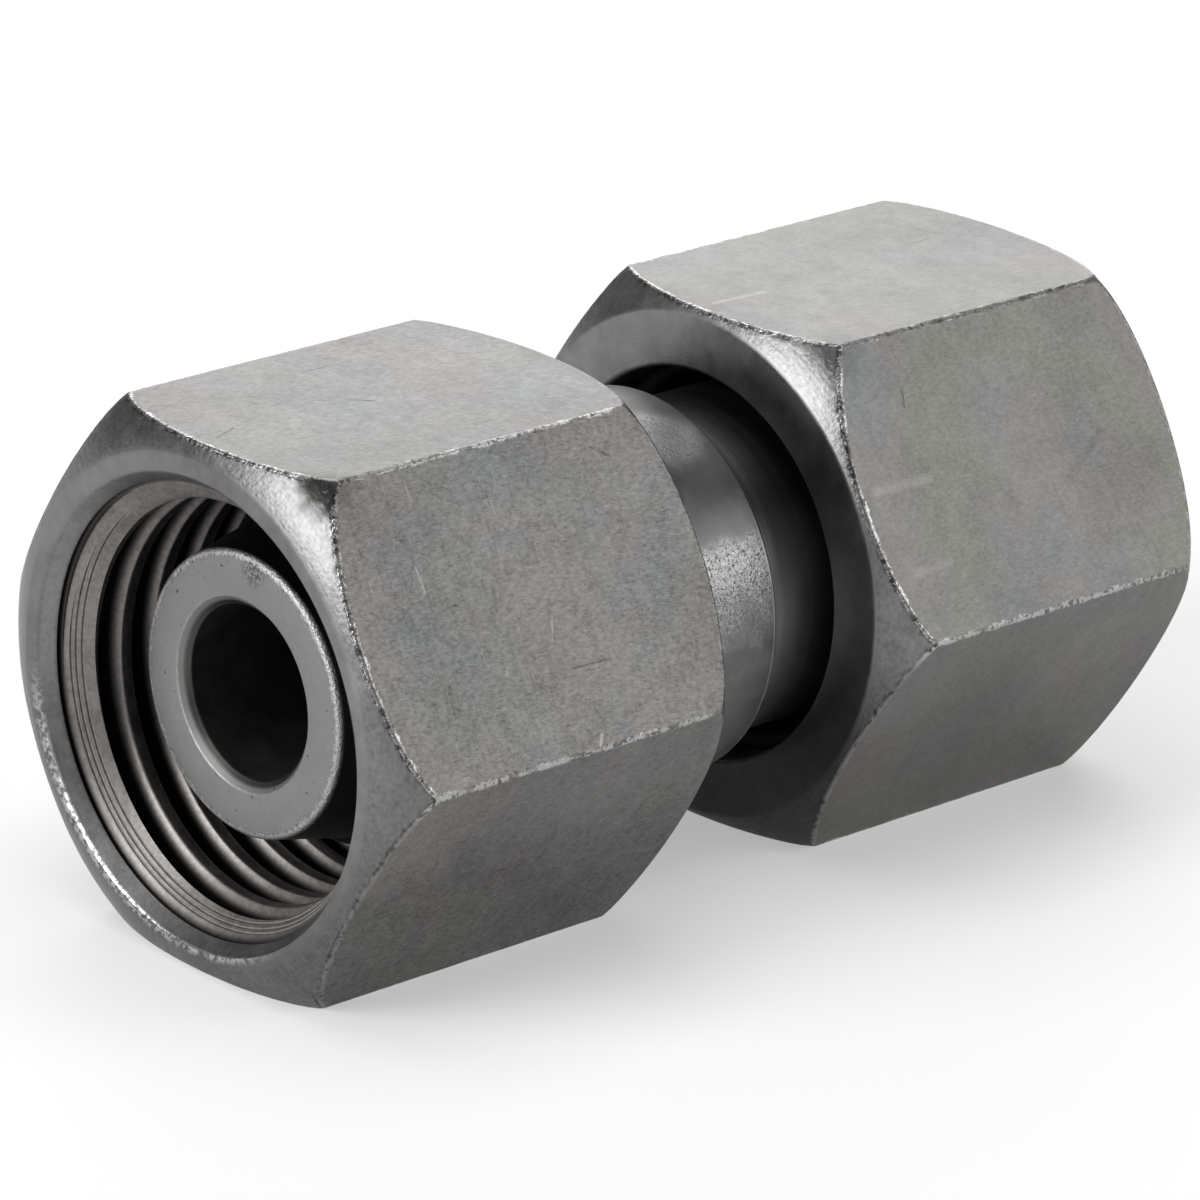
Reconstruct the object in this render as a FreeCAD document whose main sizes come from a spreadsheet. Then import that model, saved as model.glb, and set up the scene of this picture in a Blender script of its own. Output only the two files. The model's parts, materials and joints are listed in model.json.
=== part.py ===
import FreeCAD, Part
import os
import Sketcher

# Straight swivel coupling for tube joints with a 24 degree cone: one turned body with a cone
# nose at each end, and a captive union nut over each nose. A split wire ring sits in a groove
# of each nut, runs on the stem of the body and pulls on the shoulder behind the nose.
# The axis is Y, the hexagons lie on a flat with +Z up, and the origin is the middle of the bore.

# Driving dimensions, in millimetres and degrees
dimensions = [
    ("threadDia", 16.0, "outside diameter of the nut thread"),
    ("threadPitch", 1.5, "pitch of the nut thread"),
    ("nutWall", 1.5, "from the thread's outside to a flat of the hexagon"),
    ("nutLength", 15.75, "whole length of a nut"),
    ("mouthLand", 0.6, "from a flat to the circle where the mouth's corner chamfer starts"),
    ("mouthChamferAngle", 18.0, "slope of that chamfer where it starts, from the end face"),
    ("mouthChamferRound", 4.2, "radius of its bulging outline"),
    ("rearLand", 0.25, "from a flat to the circle where the rear corner chamfer starts"),
    ("rearChamferAngle", 31.0, "slope of that chamfer where it starts, from the end face"),
    ("rearChamferRound", 8.0, "radius of its bulging outline"),
    ("chamferReach", 0.2, "how far the chamfers are cut past the corners"),
    ("mouthFlare", 0.45, "how much wider than the thread the mouth is, on the radius"),
    ("mouthDepth", 0.7, "depth of the flared mouth"),
    ("mouthStep", 0.1, "plain step between the flared mouth and the lead-in"),
    ("leadInLength", 0.8, "conical lead-in to the thread"),
    ("reliefDepth", 0.2, "how much deeper than the thread its run-out groove is"),
    ("reliefLength", 1.5, "run-out groove at the end of the thread"),
    ("rearLength", 4.5, "plain bore behind the thread"),
    ("rearChamfer", 0.35, "edge break at the nut's rear hole"),
    ("ringInset", 2.6, "from the nut's rear face to the middle of the wire ring"),
    ("wireDia", 1.5, "wire of the retaining ring"),
    ("ringGapAngle", 24.0, "opening of the split ring"),
    ("ringStemClearance", 0.12, "wire ring to stem, on the radius"),
    ("ringGrooveClearance", 0.12, "wire ring to the groove of the nut, all round the wire"),
    ("collarClearance", 0.15, "collar to the nut's rear hole, on the radius"),
    ("collarLength", 6.0, "central collar"),
    ("collarChamfer", 0.2, "edge break of the collar"),
    ("stemLength", 5.8, "stem from the collar to the thrust cone"),
    ("shoulderClearance", 0.3, "thrust shoulder to the thread's inside, on the radius"),
    ("thrustStep", 0.7, "rise of the 45 degree thrust cone above the stem"),
    ("shoulderLand", 0.8, "rim of the thrust shoulder"),
    ("sealSection", 1.5, "section of the O-ring"),
    ("sealSideClearance", 0.25, "O-ring to each wall of its groove"),
    ("sealProud", 0.3, "how far the O-ring stands out of the cone"),
    ("sealFloorClearance", 0.03, "O-ring to the floor of its groove"),
    ("noseLength", 3.2, "cone in front of the O-ring groove"),
    ("noseFaceDia", 10.1, "face of the nose, before its edge is rounded"),
    ("noseAngle", 12.0, "slope of the cone, half of 24 degrees"),
    ("noseEdge", 0.22, "round on the edge of the nose"),
    ("boreDia", 6.2, "through bore"),
    ("boreChamfer", 0.36, "chamfer at each end of the bore"),
    ("frontRingGap", 0.85, "front wire ring to the collar, as the coupling lies"),
    ("rearRingGap", 0.66, "rear wire ring short of the thrust cone, as the coupling lies"),
]

document = FreeCAD.newDocument("coupling")
sheet = document.addObject("Spreadsheet::Sheet", "dim")
for row, (alias, value, meaning) in enumerate(dimensions, start=1):
    sheet.set("A%d" % row, alias)
    sheet.set("B%d" % row, str(value))
    sheet.setAlias("B%d" % row, alias)
    sheet.set("C%d" % row, meaning)
document.recompute()

# A metric thread's inside is this many pitches smaller in diameter than its outside
coreRatio = 1.0825

# Radii, worked out from the thread outwards and inwards
threadRadius = "dim.threadDia / 2"
coreRadius = "(dim.threadDia - %s * dim.threadPitch) / 2" % coreRatio
nutSides = 6
sideAngle = 360 / nutSides
flatRadius = "(dim.threadDia / 2 + dim.nutWall)"
cornerRadius = "(%s / cos(180 deg / %d))" % (flatRadius, nutSides)
collarRadius = "(%s - dim.collarClearance)" % coreRadius
shoulderRadius = "(%s - dim.shoulderClearance)" % coreRadius
stemRadius = "(%s - dim.thrustStep)" % shoulderRadius
ringRadius = "(%s + dim.ringStemClearance + dim.wireDia / 2)" % stemRadius
ringGrooveRadius = "(%s + dim.wireDia / 2 + dim.ringGrooveClearance)" % ringRadius
boreRadius = "dim.boreDia / 2"

# Stations along the body, from its middle
collarEnd = "dim.collarLength / 2"
thrustStart = "(%s + dim.stemLength)" % collarEnd
thrustEnd = "(%s + dim.thrustStep)" % thrustStart
sealStart = "(%s + dim.shoulderLand)" % thrustEnd
sealWidth = "(dim.sealSection + 2 * dim.sealSideClearance)"
sealEnd = "(%s + %s)" % (sealStart, sealWidth)
sealMiddle = "(%s + %s / 2)" % (sealStart, sealWidth)
bodyEnd = "(%s + dim.noseLength)" % sealEnd

# The cone's radius at the groove, and the O-ring that stands a little out of it
coneSlope = "tan(dim.noseAngle * 1 deg)"
noseRadius = "dim.noseFaceDia / 2"
coneRadiusAtSealEnd = "(%s + dim.noseLength * %s)" % (noseRadius, coneSlope)
coneRadiusAtSeal = "(%s + (%s - %s) * %s)" % (noseRadius, bodyEnd, sealMiddle, coneSlope)
sealRadius = "(%s + dim.sealProud - dim.sealSection / 2)" % coneRadiusAtSeal
sealFloorRadius = "(%s - dim.sealSection / 2 - dim.sealFloorClearance)" % sealRadius

# Stations along a nut, from its mouth
mouthEnd = "dim.mouthDepth"
leadInStart = "(%s + dim.mouthStep)" % mouthEnd
leadInEnd = "(%s + dim.leadInLength)" % leadInStart
reliefEnd = "(dim.nutLength - dim.rearLength)"
reliefStart = "(%s - dim.reliefLength)" % reliefEnd
ringMiddle = "(dim.nutLength - dim.ringInset)"
ringGrooveHalf = "(dim.wireDia / 2 + dim.ringGrooveClearance)"

# Where each wire ring stands on the body: near the collar in front, and near the thrust cone
# at the rear, where the round wire meets the 45 degree slope a little before the slope starts
frontRingPlace = "(%s + dim.frontRingGap + dim.wireDia / 2)" % collarEnd
wireOnSlope = "((%s - %s) - sqrt(2) * dim.wireDia / 2)" % (ringRadius, stemRadius)
rearRingPlace = "(%s + %s - dim.rearRingGap)" % (thrustStart, wireOnSlope)
ringPlaces = {"front": frontRingPlace, "rear": rearRingPlace}
sides = {"front": -1, "rear": 1}


def originFeature(body, role):
    return [f for f in body.Origin.OriginFeatures if f.Role == role][0]


def newBody(label):
    body = document.addObject("PartDesign::Body", label)
    body.Label = label
    return body


def newSketch(body, name, role):
    sketch = body.newObject("Sketcher::SketchObject", name)
    sketch.AttachmentSupport = [(originFeature(body, role), "")]
    sketch.MapMode = "FlatFace"
    return sketch


def bind(sketch, constraint, expression):
    index = sketch.addConstraint(constraint)
    sketch.setExpression("Constraints[%d]" % index, expression)


# Draws a closed outline through corners, each a pair of expressions: radius and station.
# With a bulge, also two expressions, the first side is an arc through that place
def outline(sketch, corners, bulge=None, bulgeRadius=None):
    first = sketch.GeometryCount
    points = [
        FreeCAD.Vector(float(sketch.evalExpression(radius)), float(sketch.evalExpression(station)), 0)
        for radius, station in corners
    ]
    count = len(points)
    ends = [(1, 2)] * count
    for i in range(count):
        start, end = points[i], points[(i + 1) % count]
        if i > 0 or bulge is None:
            sketch.addGeometry(Part.LineSegment(start, end))
            continue
        middle = FreeCAD.Vector(*[float(sketch.evalExpression(value)) for value in bulge], 0)
        if (middle - start).cross(end - start).z < 0:
            start, end = end, start
            ends[0] = (2, 1)
        centre = Part.Arc(start, middle, end).toShape().Curve.Center
        circle = Part.Circle(centre, FreeCAD.Vector(0, 0, 1), centre.distanceToPoint(start))
        sketch.addGeometry(Part.ArcOfCircle(circle, circle.parameter(start), circle.parameter(end)))
    for i in range(count):
        following = (i + 1) % count
        sketch.addConstraint(
            Sketcher.Constraint("Coincident", first + i, ends[i][1], first + following, ends[following][0])
        )
    if bulge is not None:
        value = float(sketch.evalExpression(bulgeRadius))
        bind(sketch, Sketcher.Constraint("Radius", first, value), bulgeRadius)
    for i, (radius, station) in enumerate(corners):
        if radius == "0":
            sketch.addConstraint(Sketcher.Constraint("PointOnObject", first + i, ends[i][0], -2))
        else:
            across = Sketcher.Constraint("DistanceX", -1, 1, first + i, ends[i][0], points[i].x)
            bind(sketch, across, radius)
        if station == "0":
            sketch.addConstraint(Sketcher.Constraint("PointOnObject", first + i, ends[i][0], -1))
        else:
            along = Sketcher.Constraint("DistanceY", -1, 1, first + i, ends[i][0], points[i].y)
            bind(sketch, along, station)


# Adds a Revolution or Groove of the sketch about the Y axis
def turn(body, kind, name, sketch, angle=None):
    feature = body.newObject("PartDesign::" + kind, name)
    feature.Profile = sketch
    feature.ReferenceAxis = (sketch, ["V_Axis"])
    feature.Angle = 360
    if angle:
        feature.setExpression("Angle", angle)
    sketch.Visibility = False
    document.recompute()
    return feature


# Puts a piece at its station on one side, turned so that its local +Y faces the middle
def place(piece, side, station):
    halfTurn = 0 if side == "front" else 180
    piece.Placement = FreeCAD.Placement(
        FreeCAD.Vector(0, 0, 0), FreeCAD.Rotation(FreeCAD.Vector(0, 0, 1), halfTurn)
    )
    piece.setExpression("Placement.Base.y", "%d * %s" % (sides[side], station))


# Turned body: half of the outline, revolved, mirrored, then its nose edges rounded
def turnedBody():
    body = newBody("body")
    half = newSketch(body, "halfOutline", "XY_Plane")
    outline(half, [
        (boreRadius, "0"),
        (collarRadius, "0"),
        (collarRadius, "%s - dim.collarChamfer" % collarEnd),
        ("%s - dim.collarChamfer" % collarRadius, collarEnd),
        (stemRadius, collarEnd),
        (stemRadius, thrustStart),
        (shoulderRadius, thrustEnd),
        (shoulderRadius, sealStart),
        (sealFloorRadius, sealStart),
        (sealFloorRadius, sealEnd),
        (coneRadiusAtSealEnd, sealEnd),
        (noseRadius, bodyEnd),
        ("%s + dim.boreChamfer" % boreRadius, bodyEnd),
        (boreRadius, "%s - dim.boreChamfer" % bodyEnd),
    ])
    halfBody = turn(body, "Revolution", "halfBody", half)
    halfVolume = body.Shape.Volume

    wholeBody = body.newObject("PartDesign::Mirrored", "wholeBody")
    wholeBody.Originals = [halfBody]
    wholeBody.MirrorPlane = (originFeature(body, "XZ_Plane"), [""])
    body.Tip = wholeBody
    document.recompute()
    if abs(body.Shape.Volume - 2 * halfVolume) > 0.001 * halfVolume:
        raise RuntimeError("the mirrored half is missing")

    faceRadius = float(sheet.evalExpression(noseRadius))
    faceStation = float(sheet.evalExpression(bodyEnd))
    edges = []
    for number, edge in enumerate(wholeBody.Shape.Edges, start=1):
        box = edge.BoundBox
        onFace = abs(abs(box.YMin) - faceStation) < 1e-4 and box.YLength < 1e-4
        if onFace and abs(box.XMax - faceRadius) < 1e-3:
            edges.append("Edge%d" % number)
    if len(edges) != 2:
        raise RuntimeError("the two nose edges weren't found")
    rounded = body.newObject("PartDesign::Fillet", "noseEdges")
    rounded.Base = (wholeBody, edges)
    rounded.setExpression("Radius", "dim.noseEdge")
    document.recompute()
    return body


# How far a corner chamfer has fallen behind its end face at a radius, as an expression: its
# outline is an arc that leaves the face at the ridge with the chamfer's slope
def chamferDepth(end, ridge, radius):
    slope = "(dim.%sChamferAngle * 1 deg)" % end
    bulge = "dim.%sChamferRound" % end
    steepness = "(sin(%s) + (%s - %s) / %s)" % (slope, radius, ridge, bulge)
    return "(%s * (cos(%s) - sqrt(1 - %s * %s)))" % (bulge, slope, steepness, steepness)


# Union nut: hexagon bar, chamfered corners, then the stepped bore. Its mouth is at local zero
def unionNut(side):
    nut = newBody(side + "_union_nut")
    hexagon = newSketch(nut, "hexagon", "XZ_Plane")
    corner = float(hexagon.evalExpression(cornerRadius))
    turns = [FreeCAD.Rotation(FreeCAD.Vector(0, 0, 1), sideAngle * i) for i in range(nutSides)]
    points = [turned.multVec(FreeCAD.Vector(corner, 0, 0)) for turned in turns]
    for i in range(nutSides):
        hexagon.addGeometry(Part.LineSegment(points[i], points[(i + 1) % nutSides]))
    circle = nutSides
    hexagon.addGeometry(Part.Circle(FreeCAD.Vector(0, 0, 0), FreeCAD.Vector(0, 0, 1), corner), True)
    for i in range(nutSides):
        hexagon.addConstraint(Sketcher.Constraint("Coincident", i, 2, (i + 1) % nutSides, 1))
        hexagon.addConstraint(Sketcher.Constraint("PointOnObject", i, 1, circle))
    for i in range(1, nutSides):
        hexagon.addConstraint(Sketcher.Constraint("Equal", 0, i))
    hexagon.addConstraint(Sketcher.Constraint("Coincident", circle, 3, -1, 1))
    hexagon.addConstraint(Sketcher.Constraint("Horizontal", 1))
    bind(hexagon, Sketcher.Constraint("DistanceY", -1, 1, 1, 1, points[1].y), flatRadius)

    bar = nut.newObject("PartDesign::Pad", "bar")
    bar.Profile = hexagon
    bar.setExpression("Length", "dim.nutLength")
    bar.Reversed = True
    hexagon.Visibility = False
    document.recompute()
    barVolume = nut.Shape.Volume

    # The bulging chamfers start on a circle inside the flats and run out past the corners
    curves = newSketch(nut, "cornerCurves", "XY_Plane")
    cornerReach = "(%s + dim.chamferReach)" % cornerRadius
    halfReach = "(%s - dim.nutWall / 2)" % cornerReach
    for end, face in {"mouth": "%s", "rear": "dim.nutLength - %s"}.items():
        ridge = "(%s - dim.%sLand)" % (flatRadius, end)
        bulgeRadius = "dim.%sChamferRound" % end
        reachDepth = face % chamferDepth(end, ridge, cornerReach)
        bulge = (halfReach, face % chamferDepth(end, ridge, halfReach))
        corners = [
            (cornerReach, reachDepth),
            (ridge, "0" if end == "mouth" else "dim.nutLength"),
            (cornerReach, "0" if end == "mouth" else "dim.nutLength"),
        ]
        outline(curves, corners, bulge, bulgeRadius)
    turn(nut, "Groove", "cornerChamfers", curves)
    chamferedVolume = nut.Shape.Volume

    bore = newSketch(nut, "boreOutline", "XY_Plane")
    outline(bore, [
        ("0", "0"),
        ("%s + dim.mouthFlare" % threadRadius, "0"),
        (threadRadius, mouthEnd),
        (threadRadius, leadInStart),
        (coreRadius, leadInEnd),
        (coreRadius, reliefStart),
        ("%s + dim.reliefDepth" % threadRadius, reliefStart),
        ("%s + dim.reliefDepth" % threadRadius, reliefEnd),
        (coreRadius, reliefEnd),
        (coreRadius, "%s - %s" % (ringMiddle, ringGrooveHalf)),
        (ringGrooveRadius, "%s - %s" % (ringMiddle, ringGrooveHalf)),
        (ringGrooveRadius, "%s + %s" % (ringMiddle, ringGrooveHalf)),
        (coreRadius, "%s + %s" % (ringMiddle, ringGrooveHalf)),
        (coreRadius, "dim.nutLength - dim.rearChamfer"),
        ("%s + dim.rearChamfer" % coreRadius, "dim.nutLength"),
        ("0", "dim.nutLength"),
    ])
    turn(nut, "Groove", "steppedBore", bore)
    if not nut.Shape.Volume < chamferedVolume < barVolume:
        raise RuntimeError("a cut of %s removed nothing" % nut.Label)
    place(nut, side, "(%s + %s)" % (ringPlaces[side], ringMiddle))
    return nut


# Retaining ring: round wire bent to a circle, with its opening on the far side
def retainingRing(side):
    ring = newBody(side + "_retaining_ring")
    section = newSketch(ring, "wireSection", "XY_Plane")
    centre = FreeCAD.Vector(float(section.evalExpression(ringRadius)), 0, 0)
    wire = float(section.evalExpression("dim.wireDia"))
    section.addGeometry(Part.Circle(centre, FreeCAD.Vector(0, 0, 1), wire / 2))
    section.addConstraint(Sketcher.Constraint("PointOnObject", 0, 3, -1))
    bind(section, Sketcher.Constraint("DistanceX", -1, 1, 0, 3, centre.x), ringRadius)
    bind(section, Sketcher.Constraint("Diameter", 0, wire), "dim.wireDia")
    bent = turn(ring, "Revolution", "bentWire", section, "360 - dim.ringGapAngle")
    bent.Midplane = True
    document.recompute()
    place(ring, side, ringPlaces[side])
    return ring


# O-ring: a plain torus on the floor of its groove
def sealRing(side):
    seal = document.addObject("Part::Torus", side + "_o_ring")
    seal.Label = side + "_o_ring"
    seal.setExpression("Radius1", sealRadius)
    seal.setExpression("Radius2", "dim.sealSection / 2")
    seal.Placement.Rotation = FreeCAD.Rotation(FreeCAD.Vector(1, 0, 0), 90)
    seal.setExpression("Placement.Base.y", "%d * %s" % (sides[side], sealMiddle))
    return seal


pieces = [turnedBody()]
for side in sides:
    pieces += [unionNut(side), retainingRing(side), sealRing(side)]
document.recompute()

for item in document.Objects:
    if "Invalid" in item.State or "Error" in item.State:
        raise RuntimeError("%s failed: %s" % (item.Label, item.State))
for piece in pieces:
    if piece.Shape.isNull() or not piece.Shape.isValid() or len(piece.Shape.Solids) != 1:
        raise RuntimeError("%s is not one valid solid" % piece.Label)

os.makedirs("parts", exist_ok=True)
for piece in pieces:
    piece.Shape.exportStep(os.path.join("parts", piece.Label + ".step"))
    box = piece.Shape.optimalBoundingBox(False)
    print("%-22s volume %8.1f  y %7.3f to %7.3f  reach %.3f"
          % (piece.Label, piece.Shape.Volume, box.YMin, box.YMax, box.XMax))
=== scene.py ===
import json
import math
from types import SimpleNamespace

import bmesh
import bpy
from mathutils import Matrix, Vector

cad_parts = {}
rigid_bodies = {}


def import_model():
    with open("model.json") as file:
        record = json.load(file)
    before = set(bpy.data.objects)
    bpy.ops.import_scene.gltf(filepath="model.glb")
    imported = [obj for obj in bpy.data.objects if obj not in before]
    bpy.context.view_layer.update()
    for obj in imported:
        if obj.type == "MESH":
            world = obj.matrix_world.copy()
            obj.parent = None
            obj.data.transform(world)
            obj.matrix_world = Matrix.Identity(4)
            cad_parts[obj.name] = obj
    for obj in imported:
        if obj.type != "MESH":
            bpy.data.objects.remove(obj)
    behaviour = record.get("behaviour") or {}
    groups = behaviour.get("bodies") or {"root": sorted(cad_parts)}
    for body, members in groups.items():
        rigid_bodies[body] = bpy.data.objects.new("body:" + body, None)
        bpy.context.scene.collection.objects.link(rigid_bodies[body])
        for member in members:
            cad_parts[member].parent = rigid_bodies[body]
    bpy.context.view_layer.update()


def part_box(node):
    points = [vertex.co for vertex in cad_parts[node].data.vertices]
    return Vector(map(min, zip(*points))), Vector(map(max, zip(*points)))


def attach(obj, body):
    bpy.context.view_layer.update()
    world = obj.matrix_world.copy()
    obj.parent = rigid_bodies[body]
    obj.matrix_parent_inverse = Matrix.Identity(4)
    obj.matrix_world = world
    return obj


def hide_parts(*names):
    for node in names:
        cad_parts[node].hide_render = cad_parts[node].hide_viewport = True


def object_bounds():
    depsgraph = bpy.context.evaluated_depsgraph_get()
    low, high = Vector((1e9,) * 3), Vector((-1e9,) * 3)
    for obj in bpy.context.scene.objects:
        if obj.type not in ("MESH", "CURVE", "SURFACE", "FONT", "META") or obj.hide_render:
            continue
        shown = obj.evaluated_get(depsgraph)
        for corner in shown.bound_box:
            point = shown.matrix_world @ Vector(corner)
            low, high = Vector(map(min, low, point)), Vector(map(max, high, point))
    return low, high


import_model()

# The pieces are shaped in millimetres, with the bore along Y, and brought to metres in the end
perMetre = 1000.0
fullTurn = 2 * math.pi
nearby = 0.001  # how close a point of an outline lies to the place that is looked for
sortPlace = (31.7, -12.3, 47.9)  # a place aside, so that few points lie equally far from it


def millimetres(corner):
    return Vector(corner) * perMetre


# Helpers that do what a user does by hand

def deselectAll():
    if bpy.context.mode != "OBJECT":
        bpy.ops.object.mode_set(mode="OBJECT")
    bpy.ops.object.select_all(action="DESELECT")


def makeActive(piece):
    deselectAll()
    piece.select_set(True)
    bpy.context.view_layer.objects.active = piece


def startEdit(piece):
    makeActive(piece)
    bpy.ops.object.mode_set(mode="EDIT")


def endEdit():
    bpy.ops.object.mode_set(mode="OBJECT")


def startSelection(piece, kind):
    bpy.ops.mesh.select_mode(type=kind)
    bpy.ops.mesh.select_all(action="DESELECT")
    return bmesh.from_edit_mesh(piece.data)


def selectPoints(piece, test):
    mesh = startSelection(piece, "VERT")
    for point in mesh.verts:
        point.select = test(point)
    mesh.select_flush_mode()
    bmesh.update_edit_mesh(piece.data)


def selectEdges(piece, test):
    mesh = startSelection(piece, "EDGE")
    mesh.normal_update()
    for edge in mesh.edges:
        edge.select = test(edge)
    mesh.select_flush_mode()
    bmesh.update_edit_mesh(piece.data)


def selectFaces(piece, test):
    mesh = startSelection(piece, "FACE")
    mesh.normal_update()
    for face in mesh.faces:
        face.select_set(test(face))
    bmesh.update_edit_mesh(piece.data)


# Welds points that lie closer than a gap, and turns the faces outwards
def tidyMesh(piece, gap=0.0005):
    startEdit(piece)
    bpy.ops.mesh.select_all(action="SELECT")
    bpy.ops.mesh.remove_doubles(threshold=gap)
    bpy.ops.mesh.normals_make_consistent(inside=False)
    endEdit()


def applyModifier(piece, kind, **settings):
    makeActive(piece)
    modifier = piece.modifiers.new(kind.lower(), kind)
    for name, value in settings.items():
        setattr(modifier, name, value)
    bpy.ops.object.modifier_apply(modifier=modifier.name)


# Keeps what two pieces share, or cuts one from the other. Blender leaves the points in no fixed
# order, so they are sorted by how far they lie from the 3D cursor and come out the same each run
def combine(piece, other, operation):
    applyModifier(piece, "BOOLEAN", operation=operation, object=other, solver="EXACT")
    bpy.data.objects.remove(other)
    startEdit(piece)
    bpy.ops.mesh.select_all(action="SELECT")
    bpy.context.scene.cursor.location = sortPlace
    bpy.ops.mesh.sort_elements(type="CURSOR_DISTANCE", elements={"VERT", "EDGE", "FACE"})
    bpy.context.scene.cursor.location = (0, 0, 0)
    endEdit()


# Draws a line from point to point, each a radius and a station along the bore
def drawOutline(name, points, closed=True):
    deselectAll()
    bpy.ops.mesh.primitive_plane_add(size=1)
    piece = bpy.context.active_object
    piece.name = name
    bpy.ops.object.mode_set(mode="EDIT")
    bpy.ops.mesh.select_mode(type="VERT")
    bpy.ops.mesh.select_all(action="SELECT")
    bpy.ops.mesh.merge(type="CENTER")
    bpy.ops.transform.translate(value=(points[0][0], points[0][1], 0))
    for here, there in zip(points, points[1:]):
        step = (there[0] - here[0], there[1] - here[1], 0)
        bpy.ops.mesh.extrude_region_move(TRANSFORM_OT_translate={"value": step})
    if closed:
        ends = [Vector((points[i][0], points[i][1], 0)) for i in (0, -1)]
        selectPoints(piece, lambda point: min((point.co - end).length for end in ends) < nearby)
        bpy.ops.mesh.edge_face_add()
    return piece


# Rounds corners of an outline that is being edited; each is (radius, station, size)
def roundCorners(piece, corners, segments):
    for radius, station, size in corners:
        corner = Vector((radius, station, 0))
        selectPoints(piece, lambda point: (point.co - corner).length < nearby)
        bpy.ops.mesh.bevel(offset=size, segments=segments, affect="VERTICES", clamp_overlap=False)


# Turns the outline that is being edited about the bore
def spinOutline(piece, steps):
    bpy.ops.mesh.select_all(action="SELECT")
    bpy.ops.mesh.spin(steps=steps, angle=fullTurn, center=(0, 0, 0), axis=(0, 1, 0))
    endEdit()
    tidyMesh(piece)


# Union nut, from its mouth at station 0 to its rear face. Both nuts are the same turned part
low, high = (millimetres(corner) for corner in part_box("front_union_nut"))
nut = {
    "length": high.y - low.y,
    "acrossFlats": high.z - low.z,
    "mouthRidge": 8.9,  # radius where the corner chamfer leaves the end face
    "mouthChamferAngle": math.radians(18),  # slope of the chamfer there
    "mouthChamferRound": 4.2,  # radius of its bulging outline
    "rearRidge": 9.25,
    "rearChamferAngle": math.radians(31),
    "rearChamferRound": 8.0,
    "cornerStart": 10.6,  # past this radius the corners are worn rounder still
    "cornerDrop": 1.0,
    "chamferSteps": 5,  # pieces of the chamfer's outline up to that radius,
    "cornerSteps": 3,  # and from there to the corner
    "ridgeRound": 0.1,  # soft ridge between the end face and the chamfer
    "boreOffset": (0.1, 0, -0.2),  # the bore was turned a little off the middle of the bar
    "mouthRadius": 8.45,
    "mouthRound": 0.16,
    "mouthDepth": 0.60,
    "stepRadius": 8.05,  # sharp end of the flare, then a narrow undercut before the lead-in
    "stepEnd": 0.75,
    "stepUndercut": 0.09,
    "leadInRadius": 7.93,
    "leadInStart": 0.86,
    "threadRadius": 8.0,
    "coreRadius": 7.188,
    "coreSpare": 0.2,  # inner layer of the turning, which the thread's solid takes away
    "toolMarks": (7.78, 7.65, 7.50),  # radii of fine grooves that the tool left on the lead-in
    "toolMarkHalf": 0.035,
    "toolMarkDepth": 0.022,
    "pitch": 1.5,
    "crestWidth": 0.48,
    "rootWidth": 0.24,
    "crestRound": 0.07,
    "threadPhase": -0.5,  # where the thread starts, in turns
    "spareTurns": 2,  # past each end, cut off square
    "threadSteps": 144,
    "reliefRadius": 8.2,
    "reliefStart": 9.75,
    "reliefEnd": 11.25,
    "ringMiddle": 13.15,
    "ringGrooveHalf": 0.87,
    "ringGrooveRadius": 7.928,
    "rearChamfer": 0.12,
    "rearRound": 0.05,
    "longEdgeRound": 0.12,
    "arcRound": 0.08,
    "arcGap": 0.12,  # points on the arcs closer than this are joined
    "flatBorder": 0.05,
    "turnSteps": 192,
    "barSpare": 1.0,  # length of the bar past each end before it is turned
    "barWeld": 0.002,  # gaps that are welded after each step,
    "arcWeld": 0.004,
    "threadWeld": 0.001,
    "screwWeld": 0.0001,
    "flatArea": 50,  # only a flat of the hexagon has a larger face
    "flatTilt": 0.05,  # how far a flat's normal leans along the bore at most,
    "chamferTilt": (0.1, 0.995),  # and how far a chamfer's does
    "arcRadius": 9.4,  # the arcs lie outside this radius
    "ringRadius": 9.3,  # and so do the chamfer's own rings, where they meet an arc
    "ringGap": 0.01,
}


# How far a convex chamfer lies behind its end face at a radius
def chamferDepth(end, radius):
    slope, bulge = nut[end + "ChamferAngle"], nut[end + "ChamferRound"]
    steepness = math.sin(slope) + (radius - nut[end + "Ridge"]) / bulge
    worn = max(0.0, radius - nut["cornerStart"])
    return bulge * (math.cos(slope) - math.sqrt(1 - steepness**2)) + nut["cornerDrop"] * worn**2


# Outline of a chamfer from its ridge to a little past the corner, as radius and depth
def chamferCurve(end):
    ridge, wornStart = nut[end + "Ridge"], nut["cornerStart"]
    corner = nut["acrossFlats"] / math.sqrt(3)
    steps, cornerSteps = nut["chamferSteps"], nut["cornerSteps"]
    radii = [ridge + (wornStart - ridge) * i / steps for i in range(1, steps + 1)]
    radii += [wornStart + (corner - wornStart) * i / cornerSteps for i in range(1, cornerSteps + 2)]
    return [(radius, chamferDepth(end, radius)) for radius in radii]


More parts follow.
